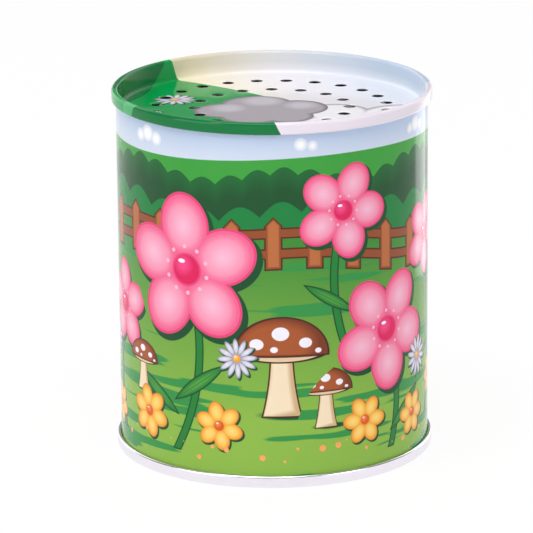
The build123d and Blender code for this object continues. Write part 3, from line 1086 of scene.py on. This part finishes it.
below_sheet = top_reach.below(ring_edges[2], 0.0005).least(top_z.below(panel_low + plate * 0.35, plate * 0.1))
top_bare = below_sheet.held()
top_tin, _, _ = tin_look(top_place)
top_gloss, top_ripple = varnish(top_place, top_smear_scale)
finish_with(top, {
    "Base Color": top_bare.tint(lid_art, top_tin),
    "Metallic": top_bare,
    "Roughness": top_gloss + top_bare * 0.14,
    "Specular IOR Level": varnish_shine,
    "Normal": top_ripple.bump(varnish_ripple),
})
wear_finish(perforated_top, top_finish)

# Hole walls: near black with a faint mottle, painted shade for the dark inside of the sound holes.
edge_mottle_scale = 3000
cut_shade_finish, cut = new_finish("cut_edge_painted_shade")
edge_mottle = place_on(cut).noise(edge_mottle_scale, 3)
finish_with(cut, {
    "Base Color": edge_mottle.above(0.5, 0.4).tint(ink(16, 15, 15), ink(28, 27, 27)),
    "Metallic": 0.3,
    "Roughness": edge_mottle * 0.3 + 0.4,
})
perforated_top.data.materials.append(cut_shade_finish)
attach(perforated_top, "casing")
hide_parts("perforated_top")


# Stage: a plain white floor that keeps the can's soft shadow, under a white sky.
# Wide soft lamps hang in front and behind, two stand at the sides and two at the back corners, and a small
# panel close behind the can lights its right edge.
floor_half = 3.0
floor_white = 0.94
floor_lift = 0.9
sky_light = 0.2
horizon_rise = 0.14
horizon_soft = 0.06
pure_white = (1, 1, 1, 1)


def ray_kinds(field):
    """Whether a ray comes from the camera, off gloss or through something clear, as 1 or 0 each."""
    names = ("Is Camera Ray", "Is Glossy Ray", "Is Transmission Ray")
    return [field.node("LightPath", {}, {}, name) for name in names]


floor_corners = [(x * floor_half, y * floor_half, 0) for x, y in ((-1, -1), (1, -1), (1, 1), (-1, 1))]
floor_data = bpy.data.meshes.new("floor")
floor_data.from_pydata(floor_corners, [], [(0, 1, 2, 3)])
floor = bpy.data.objects.new("floor", floor_data)
bpy.context.scene.collection.objects.link(floor)
floor_finish, floor_field = new_finish("floor_white")
direct, mirrored, through = ray_kinds(floor_field)
floor_diffuse = floor_field.node("BsdfDiffuse", {}, {"Color": (floor_white, floor_white, floor_white, 1)})
floor_glow = floor_field.node("Emission", {}, {"Color": pure_white, "Strength": 1.0})
floor_seen = direct.most(mirrored).most(through) * floor_lift
floor_mix = floor_field.node("MixShader", {}, {0: floor_seen, 1: floor_diffuse, 2: floor_glow})
floor_field.node("OutputMaterial", {}, {"Surface": floor_mix})
wear_finish(floor, floor_finish)

world = bpy.data.worlds.new("white_sky")
world.use_nodes = True
world.node_tree.nodes.clear()
sky = Field(world.node_tree)
_, _, sky_rise = parts(sky.node("TexCoord", {}, {}, 0))
horizon = sky_rise.below(horizon_rise, horizon_soft).held()
direct, mirrored, through = ray_kinds(sky)
sky_seen = direct.most(through).most(mirrored * horizon)
background = sky.node("Background", {}, {
    "Color": pure_white, "Strength": sky_seen * (1 - sky_light) + sky_light})
sky.node("OutputWorld", {}, {"Surface": background})
bpy.context.scene.world = world


def soft_lamp(name, place, aim, width, height, power):
    """A rectangular soft lamp at a place, turned to face its aim."""
    data = bpy.data.lights.new(name, "AREA")
    data.shape = "RECTANGLE"
    data.size = width
    data.size_y = height
    data.energy = power
    lamp = bpy.data.objects.new(name, data)
    lamp.location = place
    lamp.visible_camera = False
    lamp.rotation_euler = (Vector(aim) - Vector(place)).to_track_quat("-Z", "Y").to_euler()
    bpy.context.scene.collection.objects.link(lamp)


can_middle = (0, 0, rim_top / 2)
soft_lamp("overhead_lamp", (-0.1, -0.3, 0.78), can_middle, 0.7, 0.5, 4.5)
soft_lamp("back_lamp", (0, 0.6, 0.7), (0, 0.2, 0), 1.2, 0.8, 2.0)
soft_lamp("back_left_lamp", (-0.45, 0.5, 0.3), can_middle, 0.5, 0.55, 0.8)
soft_lamp("back_right_lamp", (0.45, 0.5, 0.3), can_middle, 0.5, 0.55, 0.8)
soft_lamp("left_lamp", (-0.65, -0.45, 0.3), can_middle, 0.5, 0.5, 2.1)
soft_lamp("right_lamp", (0.65, -0.5, 0.3), can_middle, 0.4, 0.5, 1.8)
edge_height = 0.036
soft_lamp("edge_panel", (0.107, 0.094, edge_height), (wall_radius, 0, edge_height), 0.058, 0.07, 0.017)


# Camera: a long lens, a little above the can, as in a catalogue picture.
# It is rolled by half a degree, and aimed slightly low and to the left of the can's middle.
lens = 275
view_distance = 0.844
view_rise = radians(15.86)
view_roll = radians(-0.5)
aim_left = 0.00139
aim_low = 0.00064
aim = Vector((-aim_left, 0, rim_top / 2 - aim_low))

camera_data = bpy.data.cameras.new("camera")
camera_data.lens = lens
camera_data.sensor_width = 36
camera_data.sensor_fit = "HORIZONTAL"
camera_data.clip_end = 20
camera = bpy.data.objects.new("camera", camera_data)
camera.location = aim + Vector((0, -cos(view_rise), sin(view_rise))) * view_distance
level_turn = (aim - camera.location).to_track_quat("-Z", "Y").to_matrix()
camera.rotation_euler = (level_turn @ Matrix.Rotation(view_roll, 3, "Z")).to_euler()
bpy.context.scene.collection.objects.link(camera)
bpy.context.scene.camera = camera
bpy.context.scene.view_settings.view_transform = "Standard"
